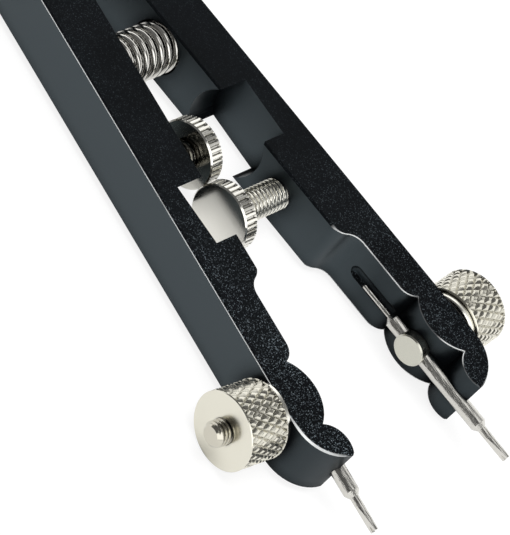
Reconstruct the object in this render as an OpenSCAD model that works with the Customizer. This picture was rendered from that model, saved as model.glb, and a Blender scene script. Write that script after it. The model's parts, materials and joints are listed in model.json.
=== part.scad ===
// Spring bar pliers: two sprung arms on a rear hinge, each with a clamped fork bit.
// X runs from the hinge to the fork tips, Y from the left arm to the right arm, Z is up.
// The origin is under the middle of the tool, on the surface that it lies on.

/* [Arms] */
// Angle between the two arms at rest
open_angle = 11.2; // [9:0.2:13]
// Width of an arm from its inner face to its outer face
arm_w = 9.4; // [9:0.1:10.4]
// Thickness of an arm from its lower face to its upper face
arm_t = 9.8; // [9.4:0.1:11]
// Distance from the hinge axis to the front end of an arm
arm_l = 120.6; // [119.8:0.1:122]
// Chamfer along the long edges of an arm
edge_c = 0.3; // [0.1:0.05:0.5]
// Distance from the hinge axis to the step in the inner face
bar_l = 88.3; // [86:0.1:91]
// Length of the rounded step in the inner face
step_l = 4.9; // [4.2:0.1:5.6]
// Depth of the slim neck below the inner face
neck_in = 2.85; // [2.4:0.05:3.1]

/* [Heads] */
// Distance from the hinge axis to the clamp bolt
bolt_x = 109.4; // [109:0.1:110]
// Distance from the bolt back to the end of the slim neck
neck_back = 7.8; // [7.4:0.1:8.2]
// Radius that rounds off the slim neck
neck_r = 2.8; // [2.5:0.1:3]
// Depth of the solid metal behind the two creases
waist_in = 5.2; // [5:0.1:5.8]
// Radius of the small lobe at the front end
tip_lobe_r = 4; // [3.7:0.1:4.3]
// Distance from the front end back to the crown of the small lobe
tip_lobe_back = 2; // [1.8:0.1:2.3]
// Depth of the crown of the small lobe below the inner face
tip_in = 2.1; // [1.9:0.05:2.3]
// Radius of the rounded outer corner at the front end
end_r = 7; // [6.5:0.1:7.3]

/* [Hinge] */
// Radius of the inner knuckle discs
knuckle_r = 7.2; // [6.6:0.1:7.6]
// Gap between a knuckle disc and the recess that it turns in
knuckle_gap = 0.25; // [0.2:0.05:0.4]
// Angle of the stop shoulder, from the inner face of an arm
shoulder_angle = 120; // [105:1:140]
// Thickness of the tongue on the right arm
tongue_t = 3.2; // [2.8:0.1:3.8]
// Thickness of a hinge washer
hinge_washer_t = 0.3; // [0.2:0.05:0.5]
// Radius of a hinge washer
hinge_washer_r = 5.5; // [4.5:0.1:6]
// Radius of the hinge barrel
barrel_r = 2; // [1.8:0.05:2.4]
// Radius of the hinge screw's shank
hinge_screw_r = 1.2; // [1:0.05:1.3]
// Length of the hinge screw's shank
hinge_screw_l = 6; // [4:0.1:7]
// Outer radius of the bush in the tongue
bush_r = 3; // [2.8:0.1:3.6]
// Radius of the two hinge heads
hinge_head_r = 4; // [3.5:0.1:4.6]
// Chamfer on the rims of the two hinge heads
hinge_head_c = 0.25; // [0.1:0.05:0.4]
// Width of a screwdriver slot
slot_w = 0.9; // [0.6:0.05:1.2]
// Depth of a screwdriver slot
slot_d = 0.6; // [0.4:0.05:0.8]

/* [Spring] */
// Distance from the hinge axis to the spring's axis
spring_x = 50.3; // [46:0.1:54]
// Outer radius of the spring
spring_r = 4.25; // [4:0.05:4.35]
// Thickness of the spring wire
wire_d = 0.95; // [0.8:0.05:1.05]
// Number of curls in the spring
curls = 11.5; // [10:0.5:12]
// Depth of a spring seat below the inner face
seat_depth = 5; // [3.5:0.1:6]
// Gap between the spring and the side of its seat
seat_gap = 0.2; // [0.1:0.05:0.4]

/* [Stop screws] */
// Distance from the hinge axis to the left arm's stop screw
left_stop_x = 67.5; // [66.5:0.1:67.6]
// Distance from the hinge axis to the right arm's stop screw
right_stop_x = 78.6; // [78.5:0.1:79]
// Radius of a stop screw's rod
stop_rod_r = 2.5; // [2.2:0.1:2.8]
// Radius of a stop wheel
wheel_r = 5.45; // [5:0.05:5.5]
// Thickness of a stop wheel
wheel_t = 2.6; // [2.2:0.1:3]
// Number of grooves round a stop wheel
wheel_grooves = 36; // [24:1:44]
// Width of a groove in a stop wheel
groove_w = 0.4; // [0.2:0.05:0.45]
// Depth of a groove in a stop wheel
groove_d = 0.4; // [0.2:0.05:0.5]
// Distance from the tool's middle plane to the left wheel's free face
left_wheel_y = 0.45; // [0.3:0.05:1.2]
// Distance from the tool's middle plane to the right wheel's free face
right_wheel_y = 4.9; // [4.4:0.1:5.2]
// Metal left between a stop screw's bore and the outer face
bore_wall = 1.6; // [1.2:0.1:2.4]
// Room that a stop screw has to be screwed further in
stop_room = 4; // [3:0.1:4.4]
// Radius of the pocket that faces a stop wheel
pocket_r = 7; // [6.9:0.05:7.2]
// Depth of that pocket below the inner face
pocket_depth = 5; // [4.8:0.1:5.2]
// Distance from the wheel's axis back to the pocket's axis
pocket_back = 0.5; // [0.2:0.05:0.6]
// Chamfer on the rims of a stop wheel
wheel_c = 0.25; // [0.1:0.05:0.4]
// Chamfer on the ends of a stop screw's rod
rod_c = 0.3; // [0.1:0.05:0.5]

/* [Clamps] */
// Radius of the bolt's round head on the inner side
head_r = 2.6; // [2.5:0.05:2.8]
// Distance that the head stands in from the bit's axis
head_over = 1.7; // [1.6:0.05:1.9]
// Length of the bolt's head
head_l = 4.35; // [4:0.05:4.6]
// Room under the head for drawing the bolt tight
draw_room = 0.3; // [0.2:0.05:0.5]
// Radius of the bolt's shank
shank_r = 2; // [1.8:0.05:2.1]
// Length of the bolt that stands out of the nut
stub_l = 2.4; // [1.6:0.1:3]
// Chamfer on the rims of the bolt's head
head_c = 0.2; // [0.1:0.05:0.3]
// Chamfer on the end of the bolt's shank
shank_c = 0.5; // [0.2:0.05:0.6]
// Thickness of the collar washer
collar_t = 1; // [0.8:0.1:1.4]
// Radius of the collar washer
collar_r = 5.5; // [5:0.1:5.8]
// Chamfer on the rims of the collar washer
collar_c = 0.15; // [0.1:0.05:0.3]
// Radius of the knurled nut over its points
nut_r = 6; // [5.8:0.1:6.4]
// Length of the knurled nut
nut_l = 7.2; // [6.4:0.1:8]
// Chamfer on both ends of the nut
nut_c = 0.2; // [0.1:0.05:0.4]
// Number of knurl points round the nut
knurl_round = 27; // [20:1:32]
// Number of knurl points along the nut
knurl_along = 3; // [2:1:5]
// Depth of the knurl
knurl_d = 0.35; // [0.25:0.05:0.5]

/* [Fork bits] */
// Radius of a bit's shank
bit_r = 1.25; // [1.15:0.05:1.3]
// Depth of the bit's axis below the inner face
bit_in = 2.35; // [2.25:0.05:2.45]
// Distance from the clamp bolt back to the bit's pin end
bit_back = 11.65; // [11:0.1:12.2]
// Overall length of a bit
bit_l = 33.1; // [32:0.1:35]
// Radius of the thin pin at the rear
pin_r = 0.38; // [0.3:0.02:0.5]
// Length of the thin pin
pin_l = 5.8; // [5:0.1:6.4]
// Chamfer on the end of the thin pin
pin_c = 0.1; // [0.05:0.05:0.2]
// Length of the cone behind the shank
cone_l = 0.85; // [0.6:0.05:1.2]
// Length of the fork from the shank's end to its tips
fork_l = 6.5; // [5.5:0.1:7.5]
// Width of the fork's round neck at its root
fork_root_w = 1.35; // [1.3:0.05:1.6]
// Width of the fork at its tips
fork_tip_w = 1.3; // [1:0.05:1.3]
// Thickness of the fork between its flats at the tips
fork_t = 0.6; // [0.5:0.05:0.8]
// Length of the flats on the fork
flat_l = 4.6; // [3.5:0.1:5]
// Length of the shoulder in front of the shank
fork_shoulder_l = 0.8; // [0.4:0.1:1]
// Depth of the notch between the tips
notch_l = 0.9; // [0.6:0.05:1.2]
// Width of the notch at the tips
notch_w = 0.5; // [0.3:0.05:0.6]
// Distance from the bit's pin end back to the groove's rounded end
groove_back = 3.4; // [3.2:0.1:3.8]

/* [Fits] */
// Clearance round a turning or sliding shaft
run_gap = 0.05; // [0.02:0.01:0.08]
// Gap between flat faces that turn on each other
face_gap = 0.02; // [0.01:0.01:0.05]
// Gap between the stop shoulders at rest
shoulder_gap = 0.05; // [0.02:0.01:0.1]
// Clearance round the bush where it is pressed in the tongue
press_gap = 0.01; // [0:0.005:0.02]
// Room beyond the end of the hinge screw
screw_room = 0.3; // [0.1:0.1:0.6]

/* [Hidden] */
half_open = open_angle / 2;
slot_h = tongue_t + 2 * (hinge_washer_t + face_gap);
step_r = (step_l * step_l + neck_in * neck_in) / (4 * neck_in);
step_end = bar_l + step_l;
neck_end = bolt_x - neck_back;
bolt_end = arm_w + collar_t + nut_l + stub_l;
head_top = bit_in - head_over;
bit_start = bolt_x - bit_back;
bit_tip = bit_start + bit_l;
groove_r = bit_r + run_gap;
groove_start = bit_start - groove_back;
ring_far = 3 * arm_w;
past = 1;
// The tool lies on its nuts and its hinge nut, so all three reach the same depth.
mid_z = nut_r;
hinge_head_t = mid_z - arm_t / 2;
tip_reach = bit_tip * cos(half_open) - (bit_in - fork_t / 2) * sin(half_open);
mid_x = (tip_reach - arm_w) / 2;
left_pocket_x = right_stop_x - pocket_back;
right_pocket_x = left_stop_x - pocket_back;
seat_y = face_y(spring_x) + seat_depth;
washer_z = (tongue_t + hinge_washer_t) / 2 + face_gap;
wire_sides = 6;
rings_per_curl = 8;
coil_rings = ceil(curls * rings_per_curl);
coil_half = seat_y - wire_d;
coil_r = spring_r - wire_d / 2;
black = "#23282c";
nickel = "#c9c4b6";
steel = "#b9b8b2";
brass = "#b08d4a";

// Distance from the middle plane to an arm's inner face, square to that plane
function face_y(x) = x * tan(half_open);
// Distance from the middle plane to an arm's outer face
function outer_y(x) = face_y(x) + arm_w / cos(half_open);
function on_circle(r, a) = [r * cos(a), r * sin(a)];
function unit(v) = v / norm(v);

// Moves the hinge's own frame to the frame of the whole tool
module place() {
    translate([-mid_x, 0, mid_z]) children();
}

// An arm's own frame: X along the arm, Y outward from its inner face.
// The side is 1 for the right arm and -1 for the left arm.
module on_arm(side) {
    rotate([0, 0, side * half_open])
        mirror([0, side < 0 ? 1 : 0, 0])
            children();
}

// Turns what stands along Z to stand along Y
module along_y() {
    rotate([-90, 0, 0]) children();
}

// Turns what stands along Z to stand along X
module along_x() {
    rotate([0, 90, 0]) children();
}

// A disc of radius r from z0 to z1 with both rims chamfered by c
module chamfered_disc(r, z0, z1, c) {
    rotate_extrude($fn = 96)
        polygon([[0, z0], [r - c, z0], [r, z0 + c], [r, z1 - c], [r - c, z1], [0, z1]]);
}

// The arm's outline seen from above, drawn in the arm's own frame
module arm_outline() {
    step_mid = bar_l + step_l / 2;
    intersection() {
        union() {
            circle(r = arm_w, $fn = 96);
            difference() {
                square([step_end, arm_w]);
                translate([step_mid, -past])
                    square([step_l / 2 + past, past + neck_in / 2]);
                translate([step_end, neck_in - step_r])
                    circle(r = step_r, $fn = 64);
                difference() {
                    translate([bar_l, -past])
                        square([step_l / 2, past + neck_in / 2]);
                    translate([bar_l, step_r])
                        circle(r = step_r, $fn = 64);
                }
            }
            translate([step_end, neck_in])
                square([neck_end - step_end, arm_w - neck_in]);
            translate([neck_end, neck_in + neck_r])
                circle(r = neck_r, $fn = 64);
            translate([neck_end, waist_in])
                square([arm_l - neck_end, arm_w - waist_in]);
            translate([bolt_x, arm_w])
                circle(r = arm_w - bit_in, $fn = 96);
            translate([arm_l - tip_lobe_back, tip_in + tip_lobe_r])
                circle(r = tip_lobe_r, $fn = 64);
        }
        union() {
            translate([-arm_w, -arm_w])
                square([2 * arm_w, 2 * arm_w]);
            square([arm_l - end_r, arm_w]);
            translate([arm_l - end_r, arm_w - end_r])
                circle(r = end_r, $fn = 96);
        }
    }
}

// The space that leaves a chamfer along the arm's straight edges and round its ends
module arm_envelope() {
    w = arm_w;
    h = arm_t / 2;
    c = edge_c;
    rotate([90, 0, 90])
        linear_extrude(arm_l - end_r)
            polygon([[0, c - h], [c, -h], [w - c, -h], [w, c - h],
                     [w, h - c], [w - c, h], [c, h], [0, h - c]]);
    chamfered_disc(w, -h, h, c);
    translate([arm_l - end_r, arm_w - end_r, 0])
        chamfered_disc(end_r, -h, h, c);
}

// A wedge of the plan from the hinge axis outward, between two angles
module sector(a0, a1) {
    steps = 6;
    polygon(concat([[0, 0]],
        [for (i = [0:steps]) on_circle(ring_far, a0 + (a1 - a0) * i / steps)]));
}

// A layer of the knuckle: a disc, with a rear ring that ends at the stop shoulder
module knuckle_layer(z0, z1) {
    gap_angle = shoulder_gap / knuckle_r * 180 / PI;
    ring_end = 360 - shoulder_angle - open_angle - gap_angle;
    intersection() {
        chamfered_disc(arm_w, -arm_t / 2, arm_t / 2, edge_c);
        translate([0, 0, z0]) linear_extrude(z1 - z0) difference() {
            circle(r = arm_w + past, $fn = 96);
            difference() {
                sector(ring_end, 360);
                circle(r = knuckle_r, $fn = 96);
            }
        }
    }
}

// The arm in front of the knuckle, cut back to the recess and the stop shoulder
module arm_bar() {
    difference() {
        intersection() {
            linear_extrude(arm_t, center = true) arm_outline();
            arm_envelope();
        }
        linear_extrude(2 * arm_t, center = true) union() {
            sector(shoulder_angle, 360);
            circle(r = knuckle_r + knuckle_gap, $fn = 96);
        }
    }
}

// The seat of the bit, the bolt's bore and the recess for the bolt's head
module head_cuts() {
    translate([groove_start + groove_r, bit_in, 0]) {
        sphere(r = groove_r, $fn = 48);
        along_x() cylinder(r = groove_r, h = arm_l, $fn = 48);
    }
    translate([bolt_x, -past, 0]) along_y()
        cylinder(r = head_r + run_gap, h = past + head_top + head_l + draw_room, $fn = 64);
    translate([bolt_x, 0, 0])
        along_y() cylinder(r = shank_r + run_gap, h = arm_w + past, $fn = 64);
}

// A round hole along Y in the tool's frame, from the middle plane to the depth y
module cross_bore(side, x, r, y) {
    translate([x, side < 0 ? -y : 0, 0])
        along_y() cylinder(r = r, h = y, $fn = 96);
}

module arm_cuts(side, stop_x, pocket_x) {
    cross_bore(side, spring_x, spring_r + seat_gap, seat_y);
    cross_bore(side, pocket_x, pocket_r, face_y(pocket_x) + pocket_depth);
    cross_bore(side, stop_x, stop_rod_r + run_gap, outer_y(stop_x) - bore_wall);
}

// A round hole through the knuckle on the hinge axis
module hinge_bore(r) {
    translate([0, 0, -arm_t]) cylinder(r = r, h = 2 * arm_t, $fn = 64);
}

// Left arm, with the two outer ears of the hinge
module left_arm() {
    color(black) place() difference() {
        on_arm(-1) difference() {
            union() {
                arm_bar();
                knuckle_layer(slot_h / 2, arm_t);
                knuckle_layer(-arm_t, -slot_h / 2);
            }
            head_cuts();
        }
        arm_cuts(-1, left_stop_x, left_pocket_x);
        hinge_bore(barrel_r + run_gap);
    }
}

// Right arm, with the middle tongue of the hinge
module right_arm() {
    color(black) place() difference() {
        on_arm(1) difference() {
            union() {
                arm_bar();
                knuckle_layer(-tongue_t / 2, tongue_t / 2);
            }
            head_cuts();
        }
        arm_cuts(1, right_stop_x, right_pocket_x);
        hinge_bore(bush_r + press_gap);
    }
}

// A low round head between z0 and z1 with a screwdriver slot in its upper side
module slotted_head(r, z0, z1) {
    difference() {
        chamfered_disc(r, z0, z1, hinge_head_c);
        translate([-r - past, -slot_w / 2, z1 - slot_d])
            cube([2 * (r + past), slot_w, slot_d + past]);
    }
}

module hinge_screw() {
    h = arm_t / 2;
    color(nickel) place() {
        slotted_head(hinge_head_r, h, h + hinge_head_t);
        translate([0, 0, h - hinge_screw_l])
            cylinder(r = hinge_screw_r, h = hinge_screw_l, $fn = 48);
    }
}

// The hinge nut is the barrel that both arms turn on
module hinge_nut() {
    h = arm_t / 2;
    color(nickel) place() difference() {
        union() {
            mirror([0, 0, 1]) slotted_head(hinge_head_r, h, h + hinge_head_t);
            translate([0, 0, -h])
                cylinder(r = barrel_r, h = arm_t - face_gap, $fn = 64);
        }
        translate([0, 0, h - hinge_screw_l - screw_room])
            cylinder(r = hinge_screw_r + run_gap, h = arm_t, $fn = 48);
    }
}

// A flat ring round the barrel, centred on the height z
module barrel_ring(r, t, z) {
    place() translate([0, 0, z - t / 2]) difference() {
        cylinder(r = r, h = t, $fn = 64);
        translate([0, 0, -past])
            cylinder(r = barrel_r + run_gap, h = t + 2 * past, $fn = 64);
    }
}

module hinge_bush() {
    color(brass) barrel_ring(bush_r, tongue_t, 0);
}

module hinge_washer(z) {
    color(nickel) barrel_ring(hinge_washer_r, hinge_washer_t, z);
}

// Centre line of the spring: a helix along Y whose ends turn square to the seats
function coil_point(i) =
    let (a = 360 * curls * i / coil_rings)
    [coil_r * cos(a), coil_half * (2 * i / coil_rings - 1), coil_r * sin(a)];
coil_path = concat(
    [[coil_r, -seat_y, 0]],
    [for (i = [0:coil_rings]) coil_point(i)],
    [[coil_r * cos(360 * curls), seat_y, coil_r * sin(360 * curls)]]);

// One ring of a tube of radius r round each point of a path, with n sides
function tube_ring(path, i, r, n) =
    let (last = len(path) - 1,
         a = path[max(i - 1, 0)],
         b = path[min(i + 1, last)],
         t = i == 0 || i == last ? [0, 1, 0] : unit(b - a),
         out = unit([path[i].x, 0, path[i].z]),
         side = unit(cross(t, out)),
         up = cross(side, t))
    [for (k = [0:n - 1]) path[i] + r * (up * cos(360 * k / n) + side * sin(360 * k / n))];

// A closed tube along a path
module tube(path, r, n) {
    m = len(path);
    points = [for (i = [0:m - 1]) each tube_ring(path, i, r, n)];
    sides = [for (i = [0:m - 2], k = [0:n - 1])
        let (a = i * n + k, b = i * n + (k + 1) % n)
        each [[a, b, b + n], [a, b + n, a + n]]];
    first = [for (k = [1:n - 2]) [0, k + 1, k]];
    base = (m - 1) * n;
    final = [for (k = [1:n - 2]) [base, base + k, base + k + 1]];
    polyhedron(points, concat(sides, first, final));
}

// Least clear gap between the spring's curls, measured on its centre line
curl_gap = min([for (i = [0:len(coil_path) - 1], j = [0:len(coil_path) - 1])
    if (j - i > rings_per_curl / 2) norm(coil_path[i] - coil_path[j])]) - wire_d;

module coil_spring() {
    echo(least_gap_between_curls = curl_gap);
    color(steel) place() translate([spring_x, 0, 0])
        tube(coil_path, wire_d / 2, wire_sides);
}

// A stop screw's rod from the wheel's free face to its blind bore
module stop_screw(side, x, free_y) {
    rod_end = outer_y(x) - bore_wall - stop_room;
    color(steel) place() translate([x, 0, 0]) mirror([0, side < 0 ? 1 : 0, 0])
        translate([0, free_y + wheel_t, 0])
            along_y() chamfered_disc(stop_rod_r, 0, rod_end - free_y - wheel_t, rod_c);
}

// A stop wheel with straight grooves round its rim
module stop_wheel(side, x, free_y) {
    color(nickel) place() translate([x, 0, 0]) mirror([0, side < 0 ? 1 : 0, 0])
        translate([0, free_y, 0]) along_y() difference() {
            chamfered_disc(wheel_r, 0, wheel_t, wheel_c);
            for (i = [1:wheel_grooves])
                rotate([0, 0, 360 * i / wheel_grooves])
                    translate([wheel_r - groove_d, -groove_w / 2, -past])
                        cube([groove_d + past, groove_w, wheel_t + 2 * past]);
        }
}

// The bolt's head is cross drilled for the bit, and its shank runs out through the nut
module clamp_bolt(side) {
    head_end = head_top + head_l;
    color(nickel) place() on_arm(side) translate([bolt_x, 0, 0]) difference() {
        along_y() {
            chamfered_disc(head_r, head_top, head_end, head_c);
            chamfered_disc(shank_r, head_end - past, bolt_end, shank_c);
        }
        translate([-2 * head_r, bit_in, 0])
            along_x() cylinder(r = bit_r + run_gap, h = 4 * head_r, $fn = 48);
    }
}

module clamp_washer(side) {
    color(nickel) place() on_arm(side) translate([bolt_x, arm_w, 0]) along_y()
        difference() {
            chamfered_disc(collar_r, 0, collar_t, collar_c);
            translate([0, 0, -past])
                cylinder(r = shank_r + run_gap, h = collar_t + 2 * past, $fn = 64);
        }
}

// A round blank whose side is a grid of diamond points between two plain rims.
// Low and high points alternate along each row and from one row to the next.
module diamond_blank(r, l, c, round_n, along_n, depth) {
    n = 2 * round_n;
    rows = 2 * along_n;
    root = r - depth;
    function row_point(k, i) =
        let (low = k > 0 && k < rows && (i + k) % 2 == 0,
             p = on_circle(low ? root : r, 360 * i / n))
        [p.x, p.y, c + (l - 2 * c) * k / rows];
    function rim_point(i, z) =
        let (p = on_circle(r - c, 360 * i / n))
        [p.x, p.y, z];
    points = concat(
        [for (i = [0:n - 1]) rim_point(i, 0)],
        [for (k = [0:rows], i = [0:n - 1]) row_point(k, i)],
        [for (i = [0:n - 1]) rim_point(i, l)]);
    sides = [for (k = [0:rows + 1], i = [0:n - 1])
        let (a = k * n + i, b = k * n + (i + 1) % n)
        each (i + k) % 2 == 1
            ? [[a, a + n, b + n], [a, b + n, b]]
            : [[a, a + n, b], [b, a + n, b + n]]];
    lower = [[for (i = [0:n - 1]) i]];
    upper = [[for (i = [n - 1:-1:0]) (rows + 2) * n + i]];
    polyhedron(points, concat(sides, lower, upper));
}

module clamp_nut(side) {
    color(nickel) place() on_arm(side) translate([bolt_x, arm_w + collar_t, 0]) along_y()
        difference() {
            diamond_blank(nut_r, nut_l, nut_c, knurl_round, knurl_along, knurl_d);
            translate([0, 0, -past])
                cylinder(r = shank_r + run_gap, h = nut_l + 2 * past, $fn = 64);
        }
}

// A turned bit: thin pin, cone, shank, shoulder and a round neck down to the tips
module bit_blank() {
    along_x() rotate_extrude($fn = 64)
        polygon([[0, 0], [pin_r - pin_c, 0], [pin_r, pin_c], [pin_r, pin_l],
                 [bit_r, pin_l + cone_l], [bit_r, bit_l - fork_l],
                 [fork_root_w / 2, bit_l - fork_l + fork_shoulder_l],
                 [fork_tip_w / 2, bit_l], [0, bit_l]]);
}

// The bit's neck is ground flat on two sides and notched between its tips
module fork_bit(side) {
    flat_start = bit_l - flat_l;
    wide = 2 * bit_r;
    color(steel) place() on_arm(side) translate([bit_start, bit_in, 0]) difference() {
        intersection() {
            bit_blank();
            linear_extrude(2 * wide, center = true)
                polygon([[-past, -wide], [flat_start, -wide], [flat_start, -fork_root_w / 2],
                         [bit_l, -fork_t / 2], [bit_l, fork_t / 2],
                         [flat_start, fork_root_w / 2], [flat_start, wide], [-past, wide]]);
        }
        rotate([90, 0, 0]) linear_extrude(wide, center = true)
            polygon([[bit_l - notch_l, 0], [bit_l, -notch_w / 2], [bit_l + past, -notch_w / 2],
                     [bit_l + past, notch_w / 2], [bit_l, notch_w / 2]]);
    }
}

left_arm();
right_arm();
hinge_screw();
hinge_nut();
hinge_bush();
hinge_washer(washer_z);  // hinge_washer_upper
hinge_washer(-washer_z);  // hinge_washer_lower
coil_spring();
stop_screw(-1, left_stop_x, left_wheel_y);  // left_stop_screw
stop_wheel(-1, left_stop_x, left_wheel_y);  // left_stop_wheel
stop_screw(1, right_stop_x, -right_wheel_y);  // right_stop_screw
stop_wheel(1, right_stop_x, -right_wheel_y);  // right_stop_wheel
clamp_bolt(-1);  // left_clamp_bolt
clamp_bolt(1);  // right_clamp_bolt
clamp_washer(-1);  // left_clamp_washer
clamp_washer(1);  // right_clamp_washer
clamp_nut(-1);  // left_clamp_nut
clamp_nut(1);  // right_clamp_nut
fork_bit(-1);  // left_fork_bit
fork_bit(1);  // right_fork_bit
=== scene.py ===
import json
import math

import bmesh
import bpy
import numpy as np
from mathutils import Matrix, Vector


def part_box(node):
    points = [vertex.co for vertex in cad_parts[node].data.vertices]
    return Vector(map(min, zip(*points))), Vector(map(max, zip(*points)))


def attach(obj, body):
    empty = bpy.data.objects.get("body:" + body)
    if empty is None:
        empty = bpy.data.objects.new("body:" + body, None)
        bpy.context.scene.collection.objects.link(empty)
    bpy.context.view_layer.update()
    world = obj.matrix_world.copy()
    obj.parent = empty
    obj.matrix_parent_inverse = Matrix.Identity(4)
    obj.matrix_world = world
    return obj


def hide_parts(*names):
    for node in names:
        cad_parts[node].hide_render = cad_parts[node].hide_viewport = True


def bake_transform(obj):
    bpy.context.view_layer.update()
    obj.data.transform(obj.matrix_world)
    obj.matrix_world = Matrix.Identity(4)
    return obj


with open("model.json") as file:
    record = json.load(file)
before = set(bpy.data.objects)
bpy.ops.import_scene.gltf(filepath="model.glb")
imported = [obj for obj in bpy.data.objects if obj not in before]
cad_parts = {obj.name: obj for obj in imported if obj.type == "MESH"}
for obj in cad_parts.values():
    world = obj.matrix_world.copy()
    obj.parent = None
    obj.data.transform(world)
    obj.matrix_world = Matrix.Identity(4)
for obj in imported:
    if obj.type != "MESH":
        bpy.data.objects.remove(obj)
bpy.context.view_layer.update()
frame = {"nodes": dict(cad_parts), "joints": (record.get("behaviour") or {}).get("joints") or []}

# Lengths are in metres
MM = 0.001
UP = np.array([0.0, 0.0, 1.0])

# The photograph's view: where it aims, from how far, how it is turned, its lens in millimetres, and
# the nearest that it sees
AIM = np.array([0.0272, -0.00446, 0.006])
DISTANCE = 0.5935
AZIMUTH = math.radians(-15.06)
DOWN = math.radians(44.81)
ROLL = math.radians(44.14)
LENS = 274.14
NEAREST_SEEN = 0.01

# The heights of the arms' lower and upper faces, the plane between them, and how far they lie from it
ARM_LOW, ARM_HIGH = (corner[2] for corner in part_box("left_arm"))
ARM_MIDDLE = (ARM_LOW + ARM_HIGH) / 2
ARM_HALF = (ARM_HIGH - ARM_LOW) / 2

# The black's painted glints and the steel's scratches, drawn coarser than the blast and the
# grinding wheel leave them, because the real ones are too fine to show
BLAST = 0.12 * MM
SCRATCH = 0.16 * MM
SCRATCH_LENGTH = 14.0 * MM
# The grain of a plated, a turned and a drawn surface, coarser than the real ones for the same reason
PLATE_GRAIN = 0.12 * MM
TURNED_GRAIN = 0.1 * MM
DRAWN_GRAIN = 0.3 * MM
# How far the grain of the blast and of the metals stands out, and the scratches
GRAIN_HEIGHT = 0.01 * MM
SCRATCH_HEIGHT = 0.05 * MM
# The clouds in the dye, in the metals' gloss and in the wear
DYE_CLOUD = 9.0 * MM
GLOSS_CLOUD = 4.0 * MM
WEAR_CLOUD = 5.0 * MM

# The black loses its gloss in recesses up to this wide, which paints shade into them, and towards the
# head over this length
BLACK_RECESS = 3.5 * MM
HEAD_FADE = 5.0 * MM
# The painted glints thin out towards the rear between these two places along the tool
GLINTS_REAR = 10.0 * MM
GLINTS_FRONT = 45.0 * MM

# The rubbed rims: the rounding that finds them, how much of the outer chamfer stays black above its
# rubbed part, the front corner, past which all of it is rubbed, and how far behind that this begins
RIM_ROUNDING = 0.4 * MM
BLACK_ABOVE = 0.2 * MM
FRONT_CORNER = 52.5 * MM
CORNER_LEAD = 3.0 * MM
# How far an inner rim's worn line reaches from its face, and the lengths over which that line, the
# outer chamfer's rubbed part and a worn stretch begin
WORN_LINE = 0.24 * MM
LINE_FADE = 0.1 * MM
RUB_FADE = 0.05 * MM
STRETCH_FADE = 1.5 * MM
# How much a normal on the 45 degree chamfers points up or down, with a fade on both sides
CHAMFER_TILT = [(0.6, 0.0), (0.66, 1.0), (0.76, 1.0), (0.82, 0.0)]

# The threads: radius, pitch, depth and the cone at each end
M4_RADIUS = 2.0 * MM
M4_PITCH = 0.7 * MM
M4_DEPTH = 0.32 * MM
M4_CONE = 0.6 * MM
M5_PITCH = 0.8 * MM
M5_DEPTH = 0.32 * MM
M5_CONE = 0.3 * MM
# The share of half a pitch that is crest, and the share over which the flank falls
CREST = 0.3
FLANK = 0.6
# The mesh columns round a thread, and its rows on a pitch
THREAD_SIDES = 72
THREAD_ROWS = 18
# How far a nut's bore clears its bolt, how far behind the nut the bolt's thread begins, and how
# short of its wheel's back a rod ends
CLEARANCE = 0.05 * MM
THREAD_LEAD = 1.5 * MM
SEAT_GAP = 0.01 * MM

# The nuts' diamond knurl: how many grooves of one set lie round the nut, how far apart they lie
# along it, half a groove's width, its depth, the nut's rim and the mesh columns for each groove
KNURL_ROUND = 27
KNURL_PITCH = 2.4 * MM
KNURL_HALF = 0.36 * MM
KNURL_DEPTH = 0.33 * MM
NUT_RIM = 0.13 * MM
KNURL_COLUMNS = 24
# The wheels' straight grooves in the same way, and the smallest ring of a wheel's flat face
WHEEL_GROOVES = 36
WHEEL_GROOVE_HALF = 0.27 * MM
WHEEL_GROOVE_DEPTH = 0.34 * MM
WHEEL_RIM = 0.22 * MM
WHEEL_COLUMNS = 16
WHEEL_MIDDLE = 1.5 * MM
# The height of a mesh row on the side of a nut or a wheel
GRIP_ROW = 0.045 * MM

# The spring: its wire, its curls, and the mesh rings on a curl and points on a ring
SPRING_WIRE = 0.95 * MM
SPRING_CURLS = 11.5
CURL_RINGS = 28
WIRE_SIDES = 14

# The table: its half width, and its glow to metal and to the eye
TABLE_HALF = 4.0
TABLE_GLOW_MIRRORED = 0.36
TABLE_GLOW_SEEN = 0.84
# The studio as the tool mirrors it: the levels of its walls, of the softbox straight above and of the
# one in front, and where that one lies
BACK_WALL = 1.3
FRONT_WALL = 0.14
ZENITH_BOX = 1.2
FRONT_BOX = 1.8
FRONT_BOX_TOWARD = (0.55, -0.7, 0.45)
# The softbox above the tool: its place, what it faces, where its right side points, how long its
# sides are and its power in watts
OVERHEAD_PLACE = np.array([0.0, -0.1, 0.9])
OVERHEAD_AIM = np.array([0.02, 0.0, 0.0])
OVERHEAD_RIGHT = np.array([1.0, 0.0, 0.0])
OVERHEAD_SIDE = 0.6
OVERHEAD_POWER = 5.5


def points_of(node):
    """The points of a CAD node as rows of X, Y and Z."""
    mesh = frame["nodes"][node].data
    points = np.empty(3 * len(mesh.vertices))
    mesh.vertices.foreach_get("co", points)
    return points.reshape(-1, 3)


def joint(name):
    """The record of a joint."""
    return next(record for record in frame["joints"] if record["name"] == name)


def linear(code):
    """An sRGB hex colour as linear red, green and blue, with a full alpha."""
    shares = [int(code[i:i + 2], 16) / 255 for i in (1, 3, 5)]
    return [s / 12.92 if s <= 0.04045 else ((s + 0.055) / 1.055) ** 2.4 for s in shares] + [1.0]


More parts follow.
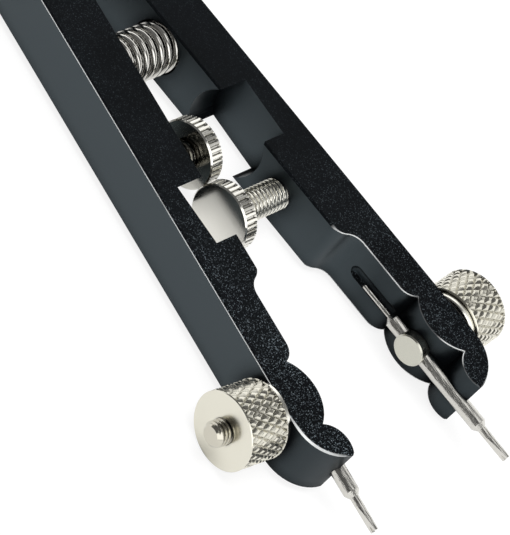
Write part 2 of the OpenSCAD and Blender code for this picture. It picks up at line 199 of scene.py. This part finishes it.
def add(tree, kind, inputs=None, stops=(), **settings):
    """Adds a shader node and returns its outputs. The settings are set on it, the inputs are set or
    linked by socket name or number, and stops are a colour ramp's places with a grey or a colour.
    By number, MapRange takes a value, the two ends that it comes from and the two that it goes to,
    and Mix takes its factor at 0 and its colours at 6 and 7."""
    node = tree.nodes.new("ShaderNode" + kind)
    for key, value in settings.items():
        setattr(node, key, value)
    for key, value in (inputs or {}).items():
        if isinstance(value, bpy.types.NodeSocket):
            tree.links.new(value, node.inputs[key])
        else:
            node.inputs[key].default_value = value
    for index, (place, level) in enumerate(stops):
        band = node.color_ramp.elements
        element = band[index] if index < len(band) else band.new(place)
        element.position = place
        element.color = linear(level) if isinstance(level, str) else [level] * 3 + [1.0]
    return node.outputs


def all_of(tree, *masks):
    """Where every one of the masks holds: their product."""
    product = masks[0]
    for mask in masks[1:]:
        product = add(tree, "Math", {0: product, 1: mask}, operation="MULTIPLY")[0]
    return product


def new_material(name):
    """An empty node material and its tree."""
    material = bpy.data.materials.new(name)
    material.use_nodes = True
    material.node_tree.nodes.clear()
    return material, material.node_tree


def rubbed_rims(tree, spot, true_normal, upright, outward, stretches):
    """Where the dye has rubbed off the rims of the upper and lower faces: the lower part of the
    chamfer along the outer side and the whole of it round the front end, and the rims of the
    inner side in stretches along the tool, each from, to and how much."""
    where = add(tree, "SeparateXYZ", {0: spot})
    height = add(tree, "Math", {0: where[2], 1: ARM_MIDDLE}, operation="SUBTRACT")[0]
    height = add(tree, "Math", {0: height}, operation="ABSOLUTE")[0]
    rounded = add(tree, "Bevel", {"Radius": RIM_ROUNDING}, samples=8)[0]
    lean = add(tree, "SeparateXYZ", {0: rounded})[1]
    chamfer = add(tree, "ValToRGB", {0: upright}, CHAMFER_TILT)[0]
    # The outer side
    straight = add(tree, "MapRange", {0: where[0], 1: FRONT_CORNER, 2: FRONT_CORNER - CORNER_LEAD})[0]
    top_of_rub = add(tree, "Math", {0: straight, 1: -BLACK_ABOVE, 2: ARM_HALF},
                     operation="MULTIPLY_ADD")[0]
    below = add(tree, "Math", {0: top_of_rub, 1: height}, operation="SUBTRACT")[0]
    rubbed = all_of(tree, chamfer,
                    add(tree, "MapRange", {0: straight, 3: 1.0, 4: 0.85})[0],
                    add(tree, "MapRange", {0: below, 1: 0.0, 2: RUB_FADE})[0],
                    add(tree, "MapRange", {0: lean, 1: 0.2 * outward, 2: 0.4 * outward})[0])
    # The inner side: its chamfer, and the sharp rims, where the rounded normal turns from the true one
    turned = add(tree, "VectorMath", {0: rounded, 1: true_normal}, operation="DOT_PRODUCT")["Value"]
    edge = add(tree, "MapRange", {0: turned, 1: 0.97, 2: 0.9})[0]
    edge = add(tree, "Math", {0: edge, 1: chamfer}, operation="MAXIMUM")[0]
    line_begins = ARM_HALF - WORN_LINE - LINE_FADE
    inner = all_of(tree, edge,
                   add(tree, "MapRange", {0: height, 1: line_begins, 2: line_begins + LINE_FADE})[0],
                   add(tree, "MapRange", {0: lean, 1: -0.1 * outward, 2: -0.25 * outward})[0])
    for start, end, amount in stretches:
        worn = all_of(tree, inner, amount,
                      add(tree, "MapRange", {0: where[0], 1: start - STRETCH_FADE, 2: start})[0],
                      add(tree, "MapRange", {0: where[0], 1: end + STRETCH_FADE, 2: end})[0])
        rubbed = add(tree, "Math", {0: rubbed, 1: worn}, operation="MAXIMUM")[0]
    cloud = add(tree, "TexNoise", {"Vector": spot, "Scale": 1 / WEAR_CLOUD, "Detail": 2.0})[0]
    return all_of(tree, rubbed, add(tree, "MapRange", {0: cloud, 1: 0.3, 2: 0.5, 3: 0.6})[0])


def black_anodised(name, outward, sparkle, head_from, stretches):
    """Bead-blasted aluminium, dyed black by anodising: a soft blue-black gloss, fine glints of the
    blast painted into the colour on the upper and lower faces, more or less by the sparkle, less
    gloss on the head, which begins at head_from, and down in its recesses, where that paints shade,
    and bare bright metal where its rims have rubbed.
    Outward is 1 for an arm whose outer side faces along Y, and -1 for the other."""
    material, tree = new_material(name)
    spot = add(tree, "TexCoord")["Object"]
    along = add(tree, "SeparateXYZ", {0: spot})[0]
    true_normal = add(tree, "NewGeometry")["True Normal"]
    upright = add(tree, "SeparateXYZ", {0: true_normal})[2]
    upright = add(tree, "Math", {0: upright}, operation="ABSOLUTE")[0]
    blasted = add(tree, "MapRange", {0: upright, 1: 0.5, 2: 0.6})[0]
    # Painted glints: some cells of the grain get a light grey in the colour, fewer to the rear and
    # between the clouds
    cloud = add(tree, "TexNoise", {"Vector": spot, "Scale": 1 / DYE_CLOUD, "Detail": 3.0})[0]
    grain = add(tree, "TexVoronoi", {"Vector": spot, "Scale": 1 / BLAST})
    each = add(tree, "SeparateXYZ", {0: grain["Color"]})[0]
    glint_cell = add(tree, "MapRange", {0: each, 1: 0.8, 2: 1.0})[0]
    painted_glint = all_of(tree, blasted, glint_cell, glint_cell, sparkle,
                   add(tree, "MapRange", {0: along, 1: GLINTS_REAR, 2: GLINTS_FRONT, 3: 0.12})[0],
                   add(tree, "MapRange", {0: cloud, 1: 0.3, 2: 0.62, 3: 0.35})[0])
    dye = add(tree, "ValToRGB", {0: cloud}, [(0.35, "#06080a"), (0.65, "#090c0f")])[0]
    # The painted glints: a light grey mixed into the dye
    colour = add(tree, "Mix", {0: painted_glint, 6: dye, 7: linear("#8a969e")}, data_type="RGBA")[2]
    bump = add(tree, "Bump", {"Strength": 0.25, "Distance": GRAIN_HEIGHT,
                              "Height": grain["Distance"]})[0]
    rough = add(tree, "MapRange", {0: cloud, 3: 0.34, 4: 0.44})[0]
    gloss = add(tree, "BsdfPrincipled", {"Base Color": colour, "Roughness": rough, "Normal": bump,
                                         "IOR": 1.65, "Specular Tint": linear("#d4eefa")})[0]
    matt = add(tree, "BsdfPrincipled", {"Base Color": colour, "Roughness": 0.7, "Normal": bump,
                                        "IOR": 1.5, "Specular IOR Level": 0.05})[0]
    # Where the gloss fails: in recesses, as painted shade, and towards the head
    open_air = add(tree, "AmbientOcclusion", {"Distance": BLACK_RECESS}, samples=6)["AO"]
    recess_shade = add(tree, "MapRange", {0: open_air, 1: 0.9, 2: 0.5, 4: 0.85})[0]
    head = add(tree, "MapRange", {0: along, 1: head_from, 2: head_from + HEAD_FADE, 4: 0.38})[0]
    dull = add(tree, "Math", {0: recess_shade, 1: head}, operation="ADD")[0]
    dull = add(tree, "Math", {0: blasted, 1: 0.95, 2: dull}, operation="MULTIPLY_ADD",
               use_clamp=True)[0]
    black = add(tree, "MixShader", {0: dull, 1: gloss, 2: matt})[0]
    metal = add(tree, "BsdfPrincipled", {"Base Color": linear("#f4f6f6"), "Metallic": 0.25,
                                         "Roughness": 0.45})[0]
    bare = rubbed_rims(tree, spot, true_normal, upright, outward, stretches)
    add(tree, "OutputMaterial", {0: add(tree, "MixShader", {0: bare, 1: black, 2: metal})[0]})
    return material


def shaped_metal(name, colour, roughness, grain, shade_reach):
    """A bare or plated metal: its colour, its roughness, which changes a little in clouds, and a
    fine grain. Painted shade darkens the colour in the bottoms of its grooves and gaps and next to
    other parts, up to the given reach across."""
    material, tree = new_material(name)
    spot = add(tree, "TexCoord")["Object"]
    cloud = add(tree, "TexNoise", {"Vector": spot, "Scale": 1 / GLOSS_CLOUD, "Detail": 2.0})[0]
    rough = add(tree, "MapRange", {0: cloud, 1: 0.3, 2: 0.7, 3: roughness * 0.85,
                                   4: roughness * 1.15})[0]
    fine = add(tree, "TexNoise", {"Vector": spot, "Scale": 1 / grain, "Detail": 3.0})[0]
    bump = add(tree, "Bump", {"Strength": 0.04, "Distance": GRAIN_HEIGHT, "Height": fine})[0]
    # Painted shade: ambient occlusion darkens the colour towards a warm near-black in grooves, gaps
    # and next to other parts
    open_air = add(tree, "AmbientOcclusion", {"Distance": shade_reach}, samples=6)["AO"]
    painted_shade = add(tree, "MapRange", {0: open_air, 1: 0.8, 2: 0.35, 4: 0.85})[0]
    tone = add(tree, "Mix", {0: painted_shade, 6: linear(colour), 7: linear("#1d1b18")}, data_type="RGBA")[2]
    metal = add(tree, "BsdfPrincipled", {"Base Color": tone, "Metallic": 1.0,
                                         "Roughness": rough, "Normal": bump})[0]
    add(tree, "OutputMaterial", {0: metal})
    return material


def ground_steel(side):
    """A bit's steel, ground along its length: fine lengthwise scratches that break its reflections
    into thin light and dark streaks."""
    material, tree = new_material(f"ground_steel_{side}")
    axis = joint(f"{side}_fork_bit_slide")["axis"]
    roughness = 0.14
    spot = add(tree, "TexCoord")["Object"]
    lengthwise = add(tree, "Mapping", {
        "Vector": spot, "Rotation": (0.0, 0.0, -math.atan2(axis[1], axis[0])),
        "Scale": (1 / SCRATCH_LENGTH, 1 / SCRATCH, 1 / SCRATCH)})[0]
    streaks = add(tree, "TexNoise", {"Vector": lengthwise, "Scale": 1.0, "Detail": 2.0})[0]
    rough = add(tree, "MapRange", {0: streaks, 1: 0.3, 2: 0.7, 3: roughness * 0.7,
                                   4: roughness * 1.3})[0]
    bump = add(tree, "Bump", {"Strength": 1.0, "Distance": SCRATCH_HEIGHT, "Height": streaks})[0]
    metal = add(tree, "BsdfPrincipled", {"Base Color": linear("#c8c6c0"), "Metallic": 1.0,
                                         "Roughness": rough, "Normal": bump})[0]
    add(tree, "OutputMaterial", {0: metal})
    return material


class Shaft:
    """A turned part's own frame: a point on its axis, the axis, and two directions square to it."""

    def __init__(self, turn_joint):
        record = joint(turn_joint)
        self.centre = np.array(record["pos_m"])
        self.axis = np.array(record["axis"])
        self.up = UP
        self.across = np.cross(self.axis, UP)

    def span(self, node):
        """Where a node begins and ends along the axis."""
        places = (points_of(node) - self.centre) @ self.axis
        return places.min(), places.max()

    def radius(self, node):
        """How far out from the axis a node reaches."""
        return np.linalg.norm(np.cross(points_of(node) - self.centre, self.axis), axis=1).max()

    def at(self, along, radius, angle):
        """Points at distances along the axis, radii and angles, which broadcast together."""
        along, radius, angle = np.broadcast_arrays(along, radius, angle)
        return (self.centre + along[..., None] * self.axis
                + (radius * np.cos(angle))[..., None] * self.up
                + (radius * np.sin(angle))[..., None] * self.across)


def angles_round(columns):
    """Evenly spaced angles round a part, as one row."""
    return np.linspace(0, 2 * math.pi, columns, endpoint=False)[None, :]


def finished_piece(name, mesh, material, sharp):
    """A piece of one material from a mesh, smooth but for its edges sharper than so many degrees."""
    mesh.polygons.foreach_set("use_smooth", np.ones(len(mesh.polygons), bool))
    mesh.set_sharp_from_angle(angle=math.radians(sharp))
    mesh.materials.append(material)
    piece = bpy.data.objects.new(name, mesh)
    bpy.context.scene.collection.objects.link(piece)
    return piece


def skin_piece(name, grid, material, closed_tube=False, sharp=35):
    """A piece from a grid of points, rows along the part and columns round it.
    Each cell is one face. The rows join end to end, or else both end rings get a flat cap."""
    rows, columns = grid.shape[:2]
    row = np.arange(rows if closed_tube else rows - 1)[:, None]
    column = np.arange(columns)[None, :]
    after_row = (row + 1) % rows
    after_column = (column + 1) % columns
    cells = np.stack([row * columns + column, row * columns + after_column,
                      after_row * columns + after_column, after_row * columns + column], -1)
    faces = cells.reshape(-1, 4).tolist()
    if not closed_tube:
        ring = np.arange(columns)
        faces += [ring[::-1].tolist(), (ring + (rows - 1) * columns).tolist()]
    mesh = bpy.data.meshes.new(name)
    mesh.from_pydata(grid.reshape(-1, 3), [], faces)
    return finished_piece(name, mesh, material, sharp)


def threaded_rod(name, shaft, start, end, radius, pitch, depth, cone, material):
    """A screw thread: the radius falls from crest to root as a blunt V, once per pitch along the
    rod and once per turn round it, and both ends are cut back by a cone."""
    rows = int((end - start) / pitch * THREAD_ROWS)
    along = np.linspace(start, end, rows)[:, None]
    angle = angles_round(THREAD_SIDES)
    turn = np.mod(along / pitch + angle / (2 * math.pi), 1)
    fall = np.clip((abs(2 * turn - 1) - CREST) / FLANK, 0, 1)
    thread = radius - depth * np.sin(fall * math.pi / 2)
    cones = radius - cone + np.minimum(along - start, end - along)
    return skin_piece(name, shaft.at(along, np.minimum(thread, cones), angle), material, sharp=25)


def diamond_knurl(along, angle, radius):
    """How deep the knurl cuts: one set of grooves climbs and the other falls round the part. A place
    is cut by the nearer of the two, fully in the middle of a groove and not at all at its edge."""
    around = KNURL_ROUND * angle / (2 * math.pi)
    climb = along / KNURL_PITCH
    across = 1 / math.hypot(KNURL_ROUND / (2 * math.pi * radius), 1 / KNURL_PITCH)
    climbing, falling = (abs(np.mod(around + way * climb, 1) - 0.5) * across for way in (1, -1))
    return KNURL_DEPTH * np.clip(1 - np.minimum(climbing, falling) / KNURL_HALF, 0, 1)


def straight_grip(_along, angle, radius):
    """How deep a wheel's grooves cut, which is the same all along it: fully over the middle half of
    a groove's width, and less and less from there to its edges."""
    off_groove = abs(np.mod(WHEEL_GROOVES * angle / (2 * math.pi), 1) - 0.5)
    off_groove = off_groove * 2 * math.pi * radius / WHEEL_GROOVES
    return WHEEL_GROOVE_DEPTH * np.clip(2 * (1 - off_groove / WHEEL_GROOVE_HALF), 0, 1)


def rolled_ring(name, shaft, node, inner, bored, rim, grip, columns, material):
    """A turned ring or disc with a grip rolled into its side. Its profile runs from the inner radius
    out over the lower face, up the side and in over the upper face: a cone as wide as the rim takes
    each corner off, and the grip's cut reaches its depth a rim's width further in. A bored ring
    closes along its bore, and a disc's faces get a flat cap within the inner radius."""
    start, end = shaft.span(node)
    radius = shaft.radius(node)
    angle = angles_round(columns)
    along = np.linspace(start + rim, end - rim, int((end - start) / GRIP_ROW))[:, None]
    inward = np.clip((np.minimum(along - start, end - along) - rim) / rim, 0, 1)
    side = radius - grip(along - start, angle, radius) * inward
    face = np.repeat([[inner], [(radius + inner) / 2], [radius - rim]], columns, axis=1)
    radii = [face, side, face[::-1]]
    places = [np.full((3, 1), start), along, np.full((3, 1), end)]
    if bored:
        radii.append(np.full((1, columns), inner))
        places.append(np.full((1, 1), (start + end) / 2))
    grid = shaft.at(np.concatenate(places), np.concatenate(radii), angle)
    return skin_piece(name, grid, material, closed_tube=bored, sharp=20)


def cut_copy(name, node, shaft, place, material):
    """A copy of a CAD node that ends at a place along the shaft, with the cut closed."""
    shell = bmesh.new()
    shell.from_mesh(frame["nodes"][node].data)
    bmesh.ops.remove_doubles(shell, verts=shell.verts, dist=1e-4 * MM)
    everything = shell.verts[:] + shell.edges[:] + shell.faces[:]
    cut = bmesh.ops.bisect_plane(shell, geom=everything, plane_co=shaft.centre + place * shaft.axis,
                                 plane_no=shaft.axis, clear_outer=True)
    rim = [part for part in cut["geom_cut"] if isinstance(part, bmesh.types.BMEdge)]
    bmesh.ops.holes_fill(shell, edges=rim)
    mesh = bpy.data.meshes.new(name)
    shell.to_mesh(mesh)
    shell.free()
    if "custom_normal" in mesh.attributes:
        mesh.attributes.remove(mesh.attributes["custom_normal"])
    return finished_piece(name, mesh, material, sharp=30)


def wound_spring(name, node, material):
    """A helix along Y: a ring of wire carried round a circle while it climbs at a steady rate.
    Each ring lies square to the path, in the plane of the outward direction and the binormal."""
    low, high = (np.array(corner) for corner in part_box(node))
    radius = (high[0] - low[0] - SPRING_WIRE) / 2
    half = (high[1] - low[1] - SPRING_WIRE) / 2
    turn = np.linspace(0, 2 * math.pi * SPRING_CURLS, int(CURL_RINGS * SPRING_CURLS))[:, None]
    climb = half / (math.pi * SPRING_CURLS)
    zero = np.zeros_like(turn)
    out = np.concatenate([np.cos(turn), zero, np.sin(turn)], 1)
    path = radius * out + np.concatenate([zero, climb * turn - half, zero], 1)
    onward = np.concatenate([-radius * np.sin(turn), zero + climb, radius * np.cos(turn)], 1)
    onward /= np.linalg.norm(onward, axis=1)[:, None]
    side = np.cross(onward, out)
    around = angles_round(WIRE_SIDES)[:, :, None]
    ring = np.cos(around) * out[:, None] + np.sin(around) * side[:, None]
    grid = (low + high) / 2 + path[:, None] + SPRING_WIRE / 2 * ring
    return skin_piece(name, grid, material)


def dress(piece, body, node):
    """Puts a piece on its body and hides the CAD node that it stands for."""
    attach(piece, body)
    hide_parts(node)


def clamp_pieces(side):
    """A clamp's knurled nut, and its bolt as the CAD solid's head with a thread in front of it."""
    shaft = Shaft(f"{side}_clamp_nut_turn")
    nut = f"{side}_clamp_nut"
    bolt = f"{side}_clamp_bolt"
    ring = rolled_ring(f"{side}_knurled_nut", shaft, nut, M4_RADIUS + CLEARANCE, True, NUT_RIM,
                       diamond_knurl, KNURL_ROUND * KNURL_COLUMNS, NICKEL)
    dress(ring, nut, nut)
    thread_from = shaft.span(nut)[0] - THREAD_LEAD
    head = cut_copy(f"{side}_bolt_head", bolt, shaft, thread_from, HEAD_NICKEL)
    dress(head, bolt, bolt)
    thread = threaded_rod(f"{side}_bolt_thread", shaft, thread_from, shaft.span(bolt)[1],
                          M4_RADIUS, M4_PITCH, M4_DEPTH, M4_CONE, CUT_STEEL)
    dress(thread, bolt, bolt)


def stop_pieces(side, rod_steel):
    """A stop's grooved wheel and its threaded rod."""
    shaft = Shaft(f"{side}_stop_wheel_turn")
    wheel = f"{side}_stop_wheel"
    screw = f"{side}_stop_screw"
    disc = rolled_ring(f"{side}_grooved_wheel", shaft, wheel, WHEEL_MIDDLE, False, WHEEL_RIM,
                       straight_grip, WHEEL_GROOVES * WHEEL_COLUMNS, BRIGHT_NICKEL)
    dress(disc, wheel, wheel)
    start, end = shaft.span(screw)
    thread = threaded_rod(f"{side}_stop_thread", shaft, start, end - SEAT_GAP,
                          np.ptp(points_of(screw)[:, 2]) / 2, M5_PITCH, M5_DEPTH, M5_CONE, rod_steel)
    dress(thread, screw, screw)


def spring_piece():
    """The spring, wound in place of its CAD node, which it hides."""
    node = "coil_spring"
    spring = wound_spring("wound_spring", node, SPRING_STEEL)
    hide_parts(node)
    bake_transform(spring)


def white_table():
    """A matt white table. The eye sees it pale grey and glowing, which keeps it white under a faint
    shadow, and metal sees it as a glowing sheet with a fainter shadow still."""
    material, tree = new_material("matt_white_table")
    path = add(tree, "LightPath")
    white = linear("#ffffff")
    mirrored = add(tree, "Math", {0: path["Is Glossy Ray"], 1: path["Is Transmission Ray"]},
                   operation="ADD")[0]
    matt = add(tree, "BsdfDiffuse", {0: linear("#dcdcdc")})[0]
    glow = add(tree, "Emission", {0: white, 1: all_of(tree, mirrored, TABLE_GLOW_MIRRORED)})[0]
    bounced = add(tree, "AddShader", {0: matt, 1: glow})[0]
    grey = add(tree, "BsdfDiffuse", {0: linear("#7c7c7c")})[0]
    bright = add(tree, "Emission", {0: white, 1: TABLE_GLOW_SEEN})[0]
    direct = add(tree, "AddShader", {0: grey, 1: bright})[0]
    both = add(tree, "MixShader", {0: path["Is Camera Ray"], 1: bounced, 2: direct})[0]
    add(tree, "OutputMaterial", {0: both})
    near, far = -TABLE_HALF, TABLE_HALF
    mesh = bpy.data.meshes.new("white_table")
    mesh.from_pydata([(near, near, 0), (far, near, 0), (far, far, 0), (near, far, 0)],
                     [], [(0, 1, 2, 3)])
    mesh.materials.append(material)
    table = bpy.data.objects.new("white_table", mesh)
    bpy.context.scene.collection.objects.link(table)


def studio_world():
    """White to the eye. For light and reflections it is a bright wall behind the tool, which leans
    forward over it, a dark wall in front, a dark ceiling, a softbox straight above and another
    at the right of the front, which lights the round edges that face it."""
    world = bpy.data.worlds.new("studio")
    bpy.context.scene.world = world
    world.use_nodes = True
    tree = world.node_tree
    tree.nodes.clear()
    sight = add(tree, "TexCoord")["Generated"]
    toward = add(tree, "SeparateXYZ", {0: sight})
    lean = add(tree, "Math", {0: toward[1], 1: -0.5, 2: toward[2]}, operation="MULTIPLY_ADD")[0]
    walls = add(tree, "MapRange", {0: lean, 1: 0.24, 2: 0.38, 3: BACK_WALL, 4: FRONT_WALL})[0]
    above = add(tree, "MapRange", {0: toward[2], 1: 0.93, 2: 0.97, 4: ZENITH_BOX})[0]
    ahead = add(tree, "VectorMath", {0: sight, 1: FRONT_BOX_TOWARD}, operation="DOT_PRODUCT")["Value"]
    front = add(tree, "MapRange", {0: ahead, 1: 0.86, 2: 0.92, 4: FRONT_BOX})[0]
    level = add(tree, "Math", {0: walls, 1: above}, operation="MAXIMUM")[0]
    level = add(tree, "Math", {0: level, 1: front}, operation="MAXIMUM")[0]
    studio = add(tree, "Background", {0: linear("#ffffff"), 1: level})[0]
    white = add(tree, "Background", {0: linear("#ffffff"), 1: 1.0})[0]
    eye = add(tree, "LightPath")["Is Camera Ray"]
    add(tree, "OutputWorld", {0: add(tree, "MixShader", {0: eye, 1: studio, 2: white})[0]})


def aimed(thing, place, right, back):
    """A lamp or a camera at a place. Its right side and its back point in the two directions given,
    and it faces away from its back."""
    turn = np.identity(4)
    turn[:3, :3] = np.stack([right, np.cross(back, right), back], 1)
    turn[:3, 3] = place
    holder = bpy.data.objects.new(thing.name, thing)
    holder.matrix_world = Matrix(turn.tolist())
    bpy.context.scene.collection.objects.link(holder)
    return holder


def overhead_softbox():
    """A softbox nearly straight above the tool, with four equal sides. Metal doesn't mirror it,
    because the studio's walls and softboxes are what metal mirrors."""
    lamp = bpy.data.lights.new("overhead", "AREA")
    lamp.shape = "RECTANGLE"
    lamp.size = OVERHEAD_SIDE
    lamp.size_y = OVERHEAD_SIDE
    lamp.energy = OVERHEAD_POWER
    back = OVERHEAD_PLACE - OVERHEAD_AIM
    back /= np.linalg.norm(back)
    aimed(lamp, OVERHEAD_PLACE, OVERHEAD_RIGHT, back).visible_glossy = False


def photo_camera():
    """The camera looks along its azimuth and down, at its aim, then rolls about its own line."""
    ahead = np.array([math.sin(AZIMUTH) * math.cos(DOWN), math.cos(AZIMUTH) * math.cos(DOWN),
                      -math.sin(DOWN)])
    level = np.cross(ahead, UP)
    level /= np.linalg.norm(level)
    right = math.cos(ROLL) * level + math.sin(ROLL) * np.cross(level, ahead)
    camera = bpy.data.cameras.new("camera")
    camera.lens = LENS
    camera.clip_start = NEAREST_SEEN
    bpy.context.scene.camera = aimed(camera, AIM - DISTANCE * ahead, right, -ahead)


# Satin nickel plate over turned steel: a warm white metal with soft, slightly blurred reflections
NICKEL = shaped_metal("satin_nickel_plate", "#d8d5c8", 0.22, PLATE_GRAIN, 0.8 * MM)
# The same plate on the bolts' heads, greyer and duller to the eye
HEAD_NICKEL = shaped_metal("dull_nickel_plate", "#c3c2b7", 0.26, PLATE_GRAIN, 0.8 * MM)
# Bright nickel plate: lighter, sharper reflections, with painted shade darkening the bottoms of the
# grooves between
BRIGHT_NICKEL = shaped_metal("bright_nickel_plate", "#e8e6de", 0.14, PLATE_GRAIN, 1.2 * MM)
# Bright turned steel, left bare: near white, with crisp highlights on every crest
BRIGHT_STEEL = shaped_metal("turned_bright_steel", "#f2f0e6", 0.18, TURNED_GRAIN, 0.6 * MM)
# Steel painted a much darker grey to stand for the shade it lies in: the same crisp highlights as the
# bright steel
SHADED_ROD_STEEL = shaped_metal("shaded_rod_steel", "#8a8880", 0.14, TURNED_GRAIN, 2.4 * MM)
# Steel with a die-cut thread: bare and bright on its crests, and warm and dark in its roots by painted
# shade
CUT_STEEL = shaped_metal("thread_cut_steel", "#c2beb1", 0.14, TURNED_GRAIN, 0.6 * MM)
# Drawn spring steel: smooth bright wire, with a bright and a dark line along every curl
SPRING_STEEL = shaped_metal("drawn_spring_wire", "#dedcd6", 0.13, DRAWN_GRAIN, 1.2 * MM)
# Turned brass: a soft dull yellow, where the hinge lets it be seen
BRASS = shaped_metal("turned_brass", "#c29b52", 0.3, PLATE_GRAIN, 0.8 * MM)
# The arms' black: the left one has more painted glints, and the right one's inner rims are worn
# bright in stretches, each from, to and how much
LEFT_BLACK = black_anodised("black_anodised_left", -1, 1.0, 42 * MM, [])
RIGHT_BLACK = black_anodised("black_anodised_right", 1, 0.55, 32 * MM,
                             [(29.0 * MM, 42.0 * MM, 1.0), (43.0 * MM, 62.0 * MM, 0.08),
                              (50.8 * MM, 54.2 * MM, 1.0)])

# The CAD solids that are shown as they are
FINISH = {
    "left_arm": LEFT_BLACK, "right_arm": RIGHT_BLACK,
    "hinge_screw": NICKEL, "hinge_nut": NICKEL, "hinge_bush": BRASS,
    "hinge_washer_upper": BRIGHT_STEEL, "hinge_washer_lower": BRIGHT_STEEL,
    "left_clamp_washer": BRIGHT_STEEL, "right_clamp_washer": BRIGHT_STEEL,
    "left_fork_bit": ground_steel("left"), "right_fork_bit": ground_steel("right"),
}
for node, material in FINISH.items():
    frame["nodes"][node].data.materials[0] = material

# The left rod stands deep between its arm and wheel, in shade, which is painted into its darker steel
for side, rod_steel in (("left", SHADED_ROD_STEEL), ("right", BRIGHT_STEEL)):
    clamp_pieces(side)
    stop_pieces(side, rod_steel)
spring_piece()

white_table()
studio_world()
overhead_softbox()
photo_camera()
bpy.context.scene.view_settings.view_transform = "Standard"
